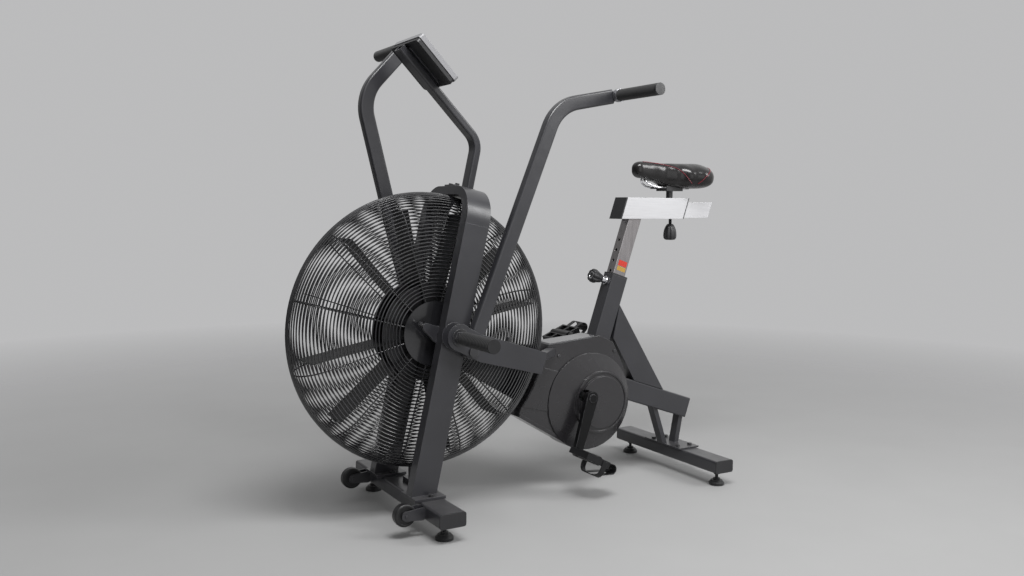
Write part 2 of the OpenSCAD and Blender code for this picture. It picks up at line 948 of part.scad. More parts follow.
module seat_tube_block(d) {
    seat_frame() translate([0, 0, -seat_tube_len - d])
        linear_extrude(seat_tube_len + 2 * d) slab(seat_tube_d + 2 * d, seat_tube_w + 2 * d, 5);
}

module tail_block(d) {
    translate([tail_end[0], 0, tail_end[1]]) rotate([0, tail_lean, 0]) rotate([0, -90, 0])
        translate([0, 0, -d]) linear_extrude(tail_len + 2 * d) slab(tail_h + 2 * d, seat_tube_w + 2 * d, 5);
}

module frame_plates() {
    color(coat) both() difference() {
        span(frame_plate[0], frame_plate[1]) polygon(plate_pts);
        pin(crank, 18 + tiny, 0, 60);
        pin(jack, 14 + tiny, 0, 60);
    }
}

module seat_tube() {
    color(coat) {
        difference() {
            seat_tube_block(0);
            seat_frame() translate([0, 0, -seat_tube_len - 1])
                linear_extrude(seat_tube_len + 2) slab(seat_tube_d - 2 * wall, seat_tube_w - 2 * wall, 3);
            pin_bore(pop_pin_r + 0.1);
        }
        difference() {
            span(-seat_tube_w / 2, seat_tube_w / 2) polygon(gusset_pts);
            span(wall - seat_tube_w / 2, seat_tube_w / 2 - wall)
                polygon(inset(gusset_pts, wall));
            seat_tube_block(0);
            tail_block(0);
        }
    }
}

module strut(a, b) {
    d = b - a;
    translate([a[0], -strut_w / 2, a[1]]) rotate([0, atan2(d[0], d[1]), 0])
        translate([-strut_t / 2, 0, 0]) cube([strut_t, strut_w, norm(d) + 30]);
}

module tail_tube() {
    plate_top = stab_top + 5;
    color(coat) {
        difference() {
            tail_block(0);
            translate([tail_end[0], 0, tail_end[1]]) rotate([0, tail_lean, 0]) rotate([0, -90, 0])
                translate([0, 0, wall]) linear_extrude(tail_len)
                    slab(tail_h - 2 * wall, seat_tube_w - 2 * wall, 3);
        }
        difference() {
            union() {
                strut([512, 222], [556, 100]);
                strut([628, 190], [611, 100]);
            }
            tail_block(0);
            translate([0, -200, plate_top - big]) cube([big, 400, big]);
        }
        difference() {
            translate([558, -90, stab_top]) cube([84, 180, 5]);
            for (x = [574, 626]) both() translate([x, 62, 0]) cylinder(r = 5, h = 200);
        }
    }
}

module case_outline(d) {
    difference() {
        union() {
            polygon(inset(case_pts, d));
            translate(drum) circle(drum_r - d);
        }
        translate(fan) circle(case_gap_r + d);
    }
}

module case_half_shell() {
    difference() {
        union() {
            span(0.1, case_half) case_outline(0);
            span(case_half, case_half + panel_t) difference() {
                polygon(panel_pts);
                translate(fan) circle(case_gap_r + 2);
                translate(drum) circle(drum_r + 1);
            }
            span(case_half, case_half + 4) difference() {
                polygon([[-32, 249], [165, 132], [170, 141], [-26, 258]]);
                translate(drum) circle(drum_r + 1);
            }
        }
        span(0, case_half - case_t) case_outline(case_t);
        pin(crank, 21, 0, 60);
        seat_tube_block(slip);
        tail_block(slip);
        translate([link_a[0], link_a[1], link_z - link_w / 2 - slip])
            rotate([0, 0, atan2(link_b[1] - link_a[1], link_b[0] - link_a[0])])
                translate([-60, -link_w / 2 - slip, 0]) cube([320, link_w + 2 * slip, link_w + 2 * slip]);
    }
}

module case_left() {
    color(coat) mirror([0, 1, 0]) case_half_shell();
}

module case_right() {
    color(coat) difference() {
        case_half_shell();
        pin(jack, 21, 0, 60);
    }
}

module case_top_cover() {
    color(black) span(-case_half - 1, case_half + 1)
        polygon([[74, 461 + slip], [214, 472 + slip], [244, 475.9 + slip], [244, 481], [214, 477], [78, 466.5]]);
}

module drum_cover() {
    difference() {
        hull() {
            pin(drum, drum_r - 1, case_half, case_half + 5, $fn = 32);
            pin(disc, disc_cover_r + 5, case_half + 14, case_half + 15, $fn = 32);
        }
        hull() {
            pin(drum, drum_r - 4, case_half - 1, case_half + 2.5, $fn = 32);
            pin(disc, disc_cover_r + 2, case_half + 11.5, case_half + 12.5, $fn = 32);
        }
        pin(crank, 21, 0, 90);
    }
}

module drum_disc() {
    difference() {
        translate([disc[0], case_half + 15, disc[1]]) rotate([-90, 0, 0]) rotate_extrude() {
            square([disc_cover_r - 14, 12]);
            translate([disc_cover_r - 14, 0]) square([10, 4]);
            translate([disc_cover_r - 4, 0]) square([6, 7]);
        }
        pin(crank, 21, 0, 90);
    }
}

module drum_covers() {
    color(coat) both() {
        drum_cover();
        drum_disc();
    }
}

// ---------- seat ----------

// Runs along the seat post's locking pin, outwards to the front
module pin_line() {
    seat_frame() translate([0, 0, pin_at]) rotate([0, -90, 0]) children();
}

module pin_bore(r) {
    pin_line() translate([0, 0, 15]) cylinder(r = r, h = 30);
}

module post_bush() {
    color(black) difference() {
        seat_frame() {
            translate([0, 0, -bush_len]) linear_extrude(bush_len)
                slab(seat_tube_d - 2 * wall - 0.2, seat_tube_w - 2 * wall - 0.2, 3);
            linear_extrude(5) slab(seat_tube_d, seat_tube_w, 5);
        }
        seat_frame() translate([post_x, 0, -bush_len - 1]) linear_extrude(bush_len + 20)
            slab(post_d + 2 * slip, post_w + 2 * slip, 3);
        pin_bore(pop_pin_r + 0.1);
    }
}

module pin_housing() {
    face = seat_tube_d / 2;
    color(steel) pin_line() difference() {
        union() {
            translate([0, 0, face]) cylinder(r = 15, h = 6, $fn = 6);
            translate([0, 0, face + 6]) cylinder(r = 11, h = 16);
        }
        cylinder(r = pop_pin_r + fit, h = 100);
    }
}

module post_pin() {
    face = seat_tube_d / 2;
    color(black) pin_line() {
        translate([0, 0, pin_tip]) cylinder(r = pop_pin_r, h = face + 24 - pin_tip);
        translate([0, 0, face + 23]) {
            cylinder(r1 = 13, r2 = 19, h = 20);
            translate([0, 0, 20]) cylinder(r = 22, h = 16);
            translate([0, 0, 36]) cylinder(r1 = 22, r2 = 18, h = 5);
        }
    }
}

module seat_post() {
    color(steel) difference() {
        seat_frame() translate([post_x, 0, -post_in])
            linear_extrude(post_in + 240) tube_section(post_d, post_w, 4, wall);
        translate([0, -100, rail_z]) cube([big, 200, big]);
        for (i = [-2 : 4]) seat_frame() translate([0, 0, pin_at + i * hole_pitch])
            rotate([0, -90, 0]) translate([0, 0, 15]) cylinder(r = 5.2, h = 30);
    }
}

// An outline of the rail in X and Z whose ends lean like the post
module rail_outline(x0, x1, z0, z1) {
    polygon([[x0 + (z0 - rail_z) * slant, z0], [x1 + (z0 - rail_z) * slant, z0],
        [x1 + (z1 - rail_z) * slant, z1], [x0 + (z1 - rail_z) * slant, z1]]);
}

module seat_rail() {
    rail_top = rail_z + rail_h;
    color(silver) difference() {
        span(-rail_half, rail_half) rail_outline(rail_front, rail_rear, rail_z, rail_top);
        span(wall - rail_half, rail_half - wall)
            rail_outline(rail_front - 50, rail_rear + 50, rail_z + wall, rail_top - wall);
        translate([480 - 14, -stem_r - 2, rail_top - 10]) cube([400, 2 * stem_r + 4, 20]);
        translate([knob_x, 0, rail_z - 5]) cylinder(r = 5 + fit, h = 20);
    }
}

module rail_cap() {
    rail_top = rail_z + rail_h;
    color(black) {
        span(-rail_half - 0.5, rail_half + 0.5)
            rail_outline(rail_front - 5, rail_front, rail_z - 0.5, rail_top + 0.5);
        span(0.2 + wall - rail_half, rail_half - wall - 0.2)
            rail_outline(rail_front, rail_front + 12, rail_z + wall + 0.2, rail_top - wall - 0.2);
    }
}

module seat_slider() {
    low = rail_z + wall + slip;
    color(silver) difference() {
        span(slip + wall - rail_half, rail_half - wall - slip)
            rail_outline(440, slider_end - slider_h * slant - 1, low, low + slider_h);
        span(2 * wall + slip - rail_half, rail_half - 2 * wall - slip)
            rail_outline(430, slider_end - 20, low + wall, low + slider_h - wall);
    }
}

module saddle_clamp() {
    low = rail_z + wall + slip + slider_h;
    color(steel) {
        translate([stem_x, 0, low]) cylinder(r = stem_r, h = 40);
        translate([stem_x - 34, -27, low + 36]) cube([68, 54, 17]);
        both() translate([stem_x - 62, 22, low + 46]) rotate([0, 90, 0]) cylinder(r = 3.5, h = 124);
    }
}

module saddle() {
    color(black) difference() {
        hull() {
            both() translate([620, 36, 948]) cylinder(r = 60, h = 70, $fn = 32);
            both() translate([622, 40, 1018]) cylinder(r = 48, h = 13, $fn = 32);
            translate([440, 0, 978]) cylinder(r = 27, h = 26, $fn = 32);
            translate([446, 0, 1004]) cylinder(r = 18, h = 10, $fn = 32);
        }
        hull() {
            both() translate([616, 30, 940]) cylinder(r = 48, h = 50, $fn = 32);
            translate([456, 0, 940]) cylinder(r = 18, h = 46, $fn = 32);
        }
    }
}

module rail_knob() {
    color(black) translate([knob_x, 0, 0]) {
        translate([0, 0, rail_z - 16]) cylinder(r = 5, h = 19);
        translate([0, 0, rail_z - 16]) cylinder(r = 9, h = 15.7);
        translate([0, 0, rail_z - 34]) cylinder(r1 = 22, r2 = 13, h = 18);
        translate([0, 0, rail_z - 64]) cylinder(r = 22, h = 30);
        translate([0, 0, rail_z - 70]) cylinder(r1 = 16, r2 = 22, h = 6);
    }
}

// ---------- fixings ----------

module frame_bolts() {
    color(steel) {
        both() {
            for (y = [98, 166]) upright_bolt(-front_x, y, stab_top + flange_t, 8, 7);
            for (x = [574, 626]) upright_bolt(x, 62, stab_top + 5, 8, 6);
            pin(pivot, pin_r, arm_in + 0.1, arm_out);
            pin(pivot, 14, arm_out, arm_out + 5);
            tension_screw(0);
            translate([fan[0], leg_in - 5, fan[1]]) rotate([0, -59, 0])
                translate([0, 0, 60]) cylinder(r = 7, h = 7, $fn = 6);
            translate([-144, arm_in + 16, 502.3]) rotate([0, 17.1, 0]) cylinder(r = 9, h = 13);
            for (p = [[112, 425], [324, 426]]) pin(p, 5, case_half, case_half + 3);
            fork_frame() upright_bolt(-20, 20, fork_top + mast_plate_t, 7, 6);
        }
    }
}

front_stabiliser();
rear_stabiliser();
tube_end_caps();
fork_legs();
fork_crown();
side_arms();
foot_pegs();
peg_sleeves();
frame_plates();
case_left();
case_right();
case_top_cover();
drum_covers();
seat_tube();
tail_tube();
fan_cage_left();
fan_cage_right();
fan_axle();
belt_guard();
mast();
console_back();
console_bezel();
console_display();
frame_bolts();
post_bush();
pin_housing();
belts();
shaft_bearings();
crank_axle();
crank_arms();
pedal_left();
toe_cage_left();
pedal_right();
toe_cage_right();
jackshaft();
fan_hub();
fan_blades();
handle_left();
grip_left();
grip_caps_left();
handle_right();
grip_right();
grip_caps_right();
seat_post();
seat_rail();
rail_cap();
seat_slider();
saddle();
saddle_clamp();
post_pin();
rail_knob();
wheel_left();
wheel_right();
foot_front_left();
foot_front_right();
foot_rear_left();
foot_rear_right();
button_left();
button_middle();
button_right();
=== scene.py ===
import json
import math

import bmesh
import bpy
from mathutils import Matrix, Vector


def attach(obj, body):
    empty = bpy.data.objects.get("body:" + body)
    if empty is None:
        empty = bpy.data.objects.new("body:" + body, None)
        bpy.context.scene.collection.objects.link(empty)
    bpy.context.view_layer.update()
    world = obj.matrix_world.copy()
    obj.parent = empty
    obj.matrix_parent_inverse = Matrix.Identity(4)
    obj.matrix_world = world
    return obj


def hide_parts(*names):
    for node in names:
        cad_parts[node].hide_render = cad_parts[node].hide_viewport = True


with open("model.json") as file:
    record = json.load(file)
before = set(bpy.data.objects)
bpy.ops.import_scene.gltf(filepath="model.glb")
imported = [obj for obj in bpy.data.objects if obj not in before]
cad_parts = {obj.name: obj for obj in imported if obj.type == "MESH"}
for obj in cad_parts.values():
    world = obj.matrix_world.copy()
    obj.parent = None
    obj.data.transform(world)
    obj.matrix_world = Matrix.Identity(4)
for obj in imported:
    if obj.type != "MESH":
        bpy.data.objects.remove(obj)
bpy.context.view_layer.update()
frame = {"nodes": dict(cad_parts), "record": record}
scene = bpy.context.scene
scene.view_settings.view_transform = "Standard"

# ---------- camera: three-quarter view from the front left, a little above the axle ----------
YAW, PITCH, ROLL = 0.532, 0.087, 0.009
CAMERA_AT = (-1.4587, -2.4163, 0.8824)
LENS_MM, SENSOR_MM = 32.79, 36
forward = Vector((math.sin(YAW) * math.cos(PITCH), math.cos(YAW) * math.cos(PITCH), -math.sin(PITCH)))
side = Vector((math.cos(YAW), -math.sin(YAW), 0))
upward = side.cross(forward)
cam_x = math.cos(ROLL) * side + math.sin(ROLL) * upward
cam_y = math.cos(ROLL) * upward - math.sin(ROLL) * side
cam = bpy.data.objects.new("camera", bpy.data.cameras.new("camera"))
cam.data.lens = LENS_MM
cam.data.sensor_width = SENSOR_MM
turn = Matrix((cam_x, cam_y, -forward)).transposed().to_4x4()
cam.matrix_world = Matrix.Translation(CAMERA_AT) @ turn
scene.collection.objects.link(cam)
scene.camera = cam


# ---------- node helpers ----------
def link(nt, a, b):
    nt.links.new(a, b)


def coords(nt, name="Object"):
    return nt.nodes.new("ShaderNodeTexCoord").outputs[name]


def noise(nt, scale, detail=3.0, vector=None, stretch=None):
    n = nt.nodes.new("ShaderNodeTexNoise")
    n.inputs["Scale"].default_value = scale
    n.inputs["Detail"].default_value = detail
    v = vector or coords(nt)
    if stretch:
        m = nt.nodes.new("ShaderNodeMapping")
        m.inputs["Scale"].default_value = stretch
        link(nt, v, m.inputs["Vector"])
        v = m.outputs["Vector"]
    link(nt, v, n.inputs["Vector"])
    return n.outputs["Fac"]


def remap(nt, value, lo, hi, a, b):
    m = nt.nodes.new("ShaderNodeMapRange")
    for key, x in (("From Min", lo), ("From Max", hi), ("To Min", a), ("To Max", b)):
        m.inputs[key].default_value = x
    link(nt, value, m.inputs["Value"])
    return m.outputs["Result"]


def mixed(nt, fac, a, b):
    m = nt.nodes.new("ShaderNodeMix")
    m.data_type = "RGBA"
    link(nt, fac, m.inputs["Factor"])
    for key, c in (("A", a), ("B", b)):
        sock = [s for s in m.inputs if s.name == key and s.type == "RGBA"][0]
        if isinstance(c, tuple):
            sock.default_value = (*c, 1)
        else:
            link(nt, c, sock)
    return [s for s in m.outputs if s.type == "RGBA"][0]


def math_node(nt, op, a, b=None):
    m = nt.nodes.new("ShaderNodeMath")
    m.operation = op
    for i, x in enumerate((a, b)):
        if x is None:
            continue
        if isinstance(x, (int, float)):
            m.inputs[i].default_value = x
        else:
            link(nt, x, m.inputs[i])
    return m.outputs[0]


def bump(nt, height, strength, distance, normal=None):
    """A bump laid over an earlier normal, if there is one."""
    bp = nt.nodes.new("ShaderNodeBump")
    bp.inputs["Strength"].default_value = strength
    bp.inputs["Distance"].default_value = distance
    link(nt, height, bp.inputs["Height"])
    if normal:
        link(nt, normal, bp.inputs["Normal"])
    return bp.outputs["Normal"]


def edge_mask(nt, radius):
    """1 along outer edges, where the rounded normal leaves the true one."""
    bev = nt.nodes.new("ShaderNodeBevel")
    bev.samples = 6
    bev.inputs["Radius"].default_value = radius
    geo = nt.nodes.new("ShaderNodeNewGeometry")
    dot = nt.nodes.new("ShaderNodeVectorMath")
    dot.operation = "DOT_PRODUCT"
    link(nt, bev.outputs["Normal"], dot.inputs[0])
    link(nt, geo.outputs["Normal"], dot.inputs[1])
    return bev.outputs["Normal"], remap(nt, dot.outputs["Value"], 0.995, 0.86, 0.0, 1.0)


def material(name, color, rough, metal=0.0, vary=0.12, vary_scale=7.0, rough_vary=0.05,
             bumps=((240, 0.06, 0.0003),), edge=None, coat=0.0, coat_rough=0.15, specular=0.5,
             round_edge=0.0015, stretch=None, waves=None, painted_top_light=0.0, sheen=0.0):
    m = bpy.data.materials.new(name)
    m.use_nodes = True
    nt = m.node_tree
    b = nt.nodes["Principled BSDF"]
    b.inputs["Metallic"].default_value = metal
    b.inputs["Coat Weight"].default_value = coat
    b.inputs["Coat Roughness"].default_value = coat_rough
    b.inputs["Specular IOR Level"].default_value = specular
    b.inputs["Sheen Weight"].default_value = sheen
    n = noise(nt, vary_scale, 5.0, stretch=stretch)
    dark = tuple(c * (1 - vary) for c in color)
    light = tuple(min(1, c * (1 + vary)) for c in color)
    col = mixed(nt, remap(nt, n, 0.35, 0.65, 0, 1), dark, light)
    normal = None
    if round_edge:
        normal, mask = edge_mask(nt, round_edge)
        if edge:
            patchy = remap(nt, noise(nt, 45, 4), 0.42, 0.62, 0.15, 1.0)
            col = mixed(nt, math_node(nt, "MULTIPLY", mask, patchy), col, edge)
    # painted light: faces that point up are tinted towards pale grey (0.30, 0.29, 0.28) in noisy patches,
    # standing in for light falling from above
    if painted_top_light:
        geo = nt.nodes.new("ShaderNodeNewGeometry")
        up = nt.nodes.new("ShaderNodeSeparateXYZ")
        link(nt, geo.outputs["Normal"], up.inputs[0])
        top = remap(nt, up.outputs["Z"], 0.6, 1.0, 0.0, painted_top_light)
        fac = math_node(nt, "MULTIPLY", top, remap(nt, noise(nt, 18, 6), 0.35, 0.7, 0.3, 1.0))
        col = mixed(nt, fac, col, (0.30, 0.29, 0.28))
    link(nt, col, b.inputs["Base Color"])
    smear = noise(nt, vary_scale * 5, 4, stretch=stretch)
    low, high = max(0.02, rough - rough_vary), min(1, rough + rough_vary)
    link(nt, remap(nt, smear, 0.3, 0.7, low, high), b.inputs["Roughness"])
    for scale, strength, distance in bumps:
        normal = bump(nt, noise(nt, scale, 2, stretch=stretch), strength, distance, normal)
    if waves:
        direction, scale, strength, distance = waves
        w = nt.nodes.new("ShaderNodeTexWave")
        w.bands_direction = direction
        w.inputs["Scale"].default_value = scale
        w.inputs["Distortion"].default_value = 0.0
        link(nt, coords(nt), w.inputs["Vector"])
        normal = bump(nt, w.outputs["Fac"], strength, distance, normal)
    if normal:
        link(nt, normal, b.inputs["Normal"])
    return m


END_CAP_Y = 0.3600      # the grips' end caps lie further out than this, the collars nearer


def collar_finish():
    """Silver collars inboard and black plastic ends outboard, told apart by how far out they stand."""
    m = material(
        "collar_and_end", (0.34, 0.34, 0.36), 0.34, metal=0.9, vary=0.08, rough_vary=0.08,
        bumps=((200, 0.02, 0.0002),))
    nt = m.node_tree
    b = nt.nodes["Principled BSDF"]
    split = nt.nodes.new("ShaderNodeSeparateXYZ")
    link(nt, coords(nt), split.inputs[0])
    distance = math_node(nt, "ABSOLUTE", split.outputs["Y"])
    outer = remap(nt, distance, END_CAP_Y, END_CAP_Y + 0.0002, 0.0, 1.0)
    silver = b.inputs["Base Color"].links[0].from_socket
    link(nt, mixed(nt, outer, silver, (0.022, 0.022, 0.024)), b.inputs["Base Color"])
    link(nt, remap(nt, outer, 0, 1, 0.9, 0.0), b.inputs["Metallic"])
    return m


M = {
    "black_metal": material(
        "black_oxide", (0.022, 0.022, 0.024), 0.32, vary=0.15, vary_scale=25,
        bumps=((500, 0.08, 0.0003),), edge=(0.14, 0.14, 0.15), coat=0.4, coat_rough=0.2),
    # painted light: the powder coat's upward faces are lightened as if lit from above
    "coat": material(
        "powder_coat", (0.026, 0.026, 0.030), 0.33, vary=0.10,
        bumps=((420, 0.06, 0.0003), (160, 0.05, 0.0005)), edge=(0.10, 0.10, 0.11), coat=0.35,
        coat_rough=0.28, painted_top_light=0.10),
    "end_cap": material(
        "cap_plastic", (0.020, 0.020, 0.022), 0.5, bumps=((1100, 0.15, 0.0003),),
        edge=(0.05, 0.05, 0.052)),
    # painted light: the case's upward faces are lightened as if lit from above
    "case": material(
        "case_plastic", (0.021, 0.020, 0.022), 0.24, vary=0.06, bumps=((420, 0.04, 0.0002),), coat=0.4,
        coat_rough=0.12, edge=(0.09, 0.09, 0.095), round_edge=0.002, painted_top_light=0.08),
    "gloss_cover": material(
        "cover_gloss", (0.10, 0.10, 0.105), 0.14, vary=0.05, rough_vary=0.03,
        bumps=((60, 0.03, 0.0005),), coat=0.6, coat_rough=0.05),
    "cage_wire": material(
        "wire_coat", (0.014, 0.014, 0.016), 0.22, vary=0.2, bumps=((600, 0.05, 0.0003),), round_edge=0,
        coat=0.8, coat_rough=0.12),
    "steel": material(
        "zinc_steel", (0.42, 0.42, 0.44), 0.34, metal=1.0, vary=0.14, vary_scale=30, rough_vary=0.1,
        edge=(0.7, 0.7, 0.72)),
    "post_steel": material(
        "post_brushed", (0.40, 0.38, 0.385), 0.24, metal=1.0, vary=0.08, vary_scale=12, rough_vary=0.08,
        stretch=(8, 8, 0.6), bumps=((90, 0.01, 0.0001),)),
    "chrome": material(
        "chrome_trim", (0.75, 0.75, 0.77), 0.10, metal=1.0, vary=0.03, rough_vary=0.03,
        bumps=((90, 0.02, 0.0003),)),
    "rail_silver": material(
        "rail_aluminium", (0.60, 0.60, 0.615), 0.46, metal=0.45, vary=0.04, vary_scale=10,
        rough_vary=0.06, stretch=(1.2, 40, 40), bumps=((260, 0.05, 0.0002),), edge=(0.7, 0.7, 0.72)),
    "grip_metal": collar_finish(),
    "console_black": material(
        "console_plastic", (0.016, 0.016, 0.018), 0.40, bumps=((500, 0.08, 0.0002),),
        edge=(0.05, 0.05, 0.05)),
    "console_silver": material(
        "console_trim", (0.24, 0.24, 0.25), 0.36, vary=0.04, bumps=((200, 0.02, 0.0002),)),
    "display": material(
        "display_window", (0.060, 0.075, 0.068), 0.08, vary=0.03, rough_vary=0.02,
        bumps=((30, 0.01, 0.0003),), coat=1.0, coat_rough=0.03),
    "button": material("button_rubber", (0.05, 0.05, 0.055), 0.55, bumps=((900, 0.2, 0.0002),)),
    "rubber": material(
        "moulded_rubber", (0.010, 0.010, 0.011), 0.50, vary=0.18, vary_scale=20,
        bumps=((800, 0.3, 0.0004),), sheen=0.15, specular=0.35),
    "belt": material("drive_belt", (0.015, 0.015, 0.015), 0.7, bumps=((700, 0.3, 0.0004),)),
    "tyre": material(
        "wheel_tread", (0.010, 0.010, 0.011), 0.36, bumps=((700, 0.25, 0.0004),),
        edge=(0.06, 0.06, 0.06)),
    "crank_black": material(
        "crank_forging", (0.006, 0.006, 0.0065), 0.20, vary=0.12, bumps=((220, 0.08, 0.0004),),
        edge=(0.20, 0.20, 0.21), specular=0.22),
    "pedal_black": material(
        "pedal_resin", (0.010, 0.010, 0.011), 0.34, specular=0.3, bumps=((700, 0.25, 0.0004),),
        edge=(0.07, 0.07, 0.07)),
    "toe_plastic": material(
        "toe_cage_plastic", (0.010, 0.010, 0.011), 0.30, specular=0.3, bumps=((700, 0.2, 0.0003),),
        edge=(0.09, 0.09, 0.09)),
    "fan_hub": material(
        "fan_hub_coat", (0.022, 0.022, 0.024), 0.45, bumps=((300, 0.1, 0.0004),), edge=(0.1, 0.1, 0.1)),
    "fan_blade": material(
        "fan_sheet", (0.010, 0.010, 0.011), 0.48, vary=0.12, bumps=((500, 0.08, 0.0003),),
        round_edge=0),
    "knob": material(
        "knob_plastic", (0.024, 0.024, 0.026), 0.38, bumps=((900, 0.15, 0.0003),),
        edge=(0.08, 0.08, 0.08)),
}
grip_rubber = material(
    "grip_foam", (0.015, 0.015, 0.016), 0.66, vary=0.15, vary_scale=30, bumps=((900, 0.35, 0.0004),),
    waves=("Y", 55, 0.35, 0.0006), sheen=0.15, specular=0.3)
peg_rubber = material(
    "peg_rubber", (0.014, 0.014, 0.015), 0.60, vary=0.15, vary_scale=30, bumps=((700, 0.3, 0.0004),),
    waves=("Y", 40, 0.6, 0.0010), sheen=0.1, specular=0.3)
SLOT = {s["node"]: s["material_slot"] for s in frame["record"]["subparts"]}
for node, obj in frame["nodes"].items():
    mat = M.get(SLOT[node], M["rubber"])
    if node.startswith("grip_") and "caps" not in node:
        mat = grip_rubber
    if node == "peg_sleeves":
        mat = peg_rubber
    obj.data.materials.clear()
    obj.data.materials.append(mat)


# ---------- mesh helpers ----------
def piece(name, verts, faces, mat, body, smooth=True, subdiv=0):
    me = bpy.data.meshes.new(name)
    me.from_pydata([tuple(v) for v in verts], [], faces)
    bm = bmesh.new()
    bm.from_mesh(me)
    bmesh.ops.recalc_face_normals(bm, faces=bm.faces)
    bm.to_mesh(me)
    bm.free()
    me.materials.append(mat)
    o = bpy.data.objects.new(name, me)
    scene.collection.objects.link(o)
    if smooth:
        me.shade_smooth()
    if subdiv:
        s = o.modifiers.new("s", "SUBSURF")
        s.levels = s.render_levels = subdiv
    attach(o, body)
    return o


def grid_faces(nu, nv):
    """Faces of nu rings of nv points."""
    out = []
    for i in range(nu - 1):
        for j in range(nv):
            k = (j + 1) % nv
            a, b = i * nv, (i + 1) * nv
            out.append((a + j, a + k, b + k, b + j))
    return out


def capped(nu, nv):
    """The same, with both ends closed."""
    return grid_faces(nu, nv) + [tuple(range(nv))[::-1], tuple(range((nu - 1) * nv, nu * nv))]


def basis(axis):
    """A matrix whose Z is axis."""
    z = Vector(axis).normalized()
    x = Vector((0, 1, 0)) if abs(z.y) < 0.9 else Vector((1, 0, 0))
    x = (x - z * x.dot(z)).normalized()
    return Matrix((x, z.cross(x), z)).transposed()


def lathe(name, at, axis, profile, mat, body, seg=48, lobes=0, depth=0.0):
    """Turns (radius, height) points about axis; a third value in a point says how deep its flutes are."""
    r3 = basis(axis)
    verts = []
    for r, h, *flute in profile:
        for j in range(seg):
            a = 2 * math.pi * j / seg
            k = r
            if lobes and flute:
                k = r * (1 - depth * flute[0] * (0.5 - 0.5 * math.cos(lobes * a)) ** 2)
            verts.append(Vector(at) + r3 @ Vector((k * math.cos(a), k * math.sin(a), h)))
    return piece(name, verts, capped(len(profile), seg), mat, body)


def tube(name, points, r, mat, body, seg=10):
    """A round bead or wire along points."""
    pts = [Vector(p) for p in points]
    n = len(pts)
    verts = []
    frame_x = None
    for i, p in enumerate(pts):
        a = pts[i - 1] if i else p
        b = pts[i + 1] if i < n - 1 else p
        t = (b - a).normalized()
        if frame_x is None:
            frame_x = basis(t).col[0].copy()
        frame_x = (frame_x - t * frame_x.dot(t)).normalized()
        y = t.cross(frame_x)
        for j in range(seg):
            an = 2 * math.pi * j / seg
            verts.append(p + r * (math.cos(an) * frame_x + math.sin(an) * y))
    return piece(name, verts, capped(n, seg), mat, body)


def ease(x):
    x = max(0.0, min(1.0, x))
    return x * x * (3 - 2 * x)


def table(points, x):
    """Smooth interpolation through (x, value) points."""
    if x <= points[0][0]:
        return points[0][1]
    for (x0, y0), (x1, y1) in zip(points, points[1:]):
        if x <= x1:
            return y0 + (y1 - y0) * ease((x - x0) / (x1 - x0))
    return points[-1][1]


# ---------- saddle ----------
NOSE, REAR = 0.413, 0.704
tilt = math.radians(18.6)
# half width, top and underside along the saddle, from 0 at the nose to 1 at the rear
HALF = [(0.0, 0.0235), (0.18, 0.0245), (0.36, 0.031), (0.52, 0.052),
        (0.66, 0.079), (0.80, 0.095), (0.92, 0.096), (1.0, 0.092)]
TOP = [(0.0, 1.0315), (0.15, 1.0325), (0.42, 1.0305), (0.62, 1.0300), (0.80, 1.0310), (1.0, 1.0275)]
LOW = [(0.0, 0.983), (0.12, 0.978), (0.26, 0.969), (0.48, 0.951),
       (0.62, 0.947), (0.85, 0.947), (1.0, 0.951)]


def saddle_point(t, phi, grow=0.0):
    """A point of the saddle's skin: t runs from nose to rear, phi goes round the section."""
    x = NOSE + (REAR - NOSE) * t
    nose = math.sqrt(max(0.0, 1 - (1 - min(1, t / 0.085)) ** 2))
    tail = math.sqrt(max(0.0, 1 - max(0, (t - 0.80) / 0.20) ** 2.6))
    half = table(HALF, t) * nose * (0.28 + 0.72 * tail if t < 1 else 0.28)
    top, low = table(TOP, t), table(LOW, t)
    mid = low + (top - low) * 0.50
    close = min(nose, 0.30 + 0.70 * tail)
    top, low = mid + (top - mid) * close, mid + (low - mid) * close
    c, s = math.cos(phi), math.sin(phi)
    p = 0.82 if s > 0 else 0.55
    y = (half + grow) * math.copysign(abs(c) ** p, c)
    z = mid + ((top - mid + grow) * s ** 0.80 if s > 0 else -(mid - low + grow) * (-s) ** 0.62)
    if s > 0:
        z -= 0.0045 * math.exp(-(y / 0.012) ** 2) * ease((t - 0.15) / 0.2) * ease((0.97 - t) / 0.12)
        flank = ease((abs(y) - 0.02) / 0.06) * ease((t - 0.4) / 0.3)
        z -= 0.006 * flank
    return Vector((x, y, z))


def leather(name, base):
    m = bpy.data.materials.new(name)
    m.use_nodes = True
    nt = m.node_tree
    b = nt.nodes["Principled BSDF"]
    b.inputs["Coat Weight"].default_value = 0.4
    b.inputs["Coat Roughness"].default_value = 0.16
    b.inputs["Specular IOR Level"].default_value = 0.32
    v = nt.nodes.new("ShaderNodeTexVoronoi")
    v.feature = "DISTANCE_TO_EDGE"
    v.inputs["Scale"].default_value = 520
    link(nt, coords(nt), v.inputs["Vector"])
    grain = remap(nt, v.outputs["Distance"], 0.0, 0.22, 0.0, 1.0)
    dark, light, crease = (tuple(c * k for c in base) for k in (0.8, 1.25, 0.6))
    tone = mixed(nt, remap(nt, noise(nt, 14, 6), 0.35, 0.65, 0, 1), dark, light)
    link(nt, mixed(nt, grain, crease, tone), b.inputs["Base Color"])
    link(nt, remap(nt, noise(nt, 60, 4), 0.3, 0.7, 0.22, 0.32), b.inputs["Roughness"])
    fine = bump(nt, grain, 0.10, 0.0002)
    link(nt, bump(nt, noise(nt, 40, 5), 0.05, 0.002, fine), b.inputs["Normal"])
    return m


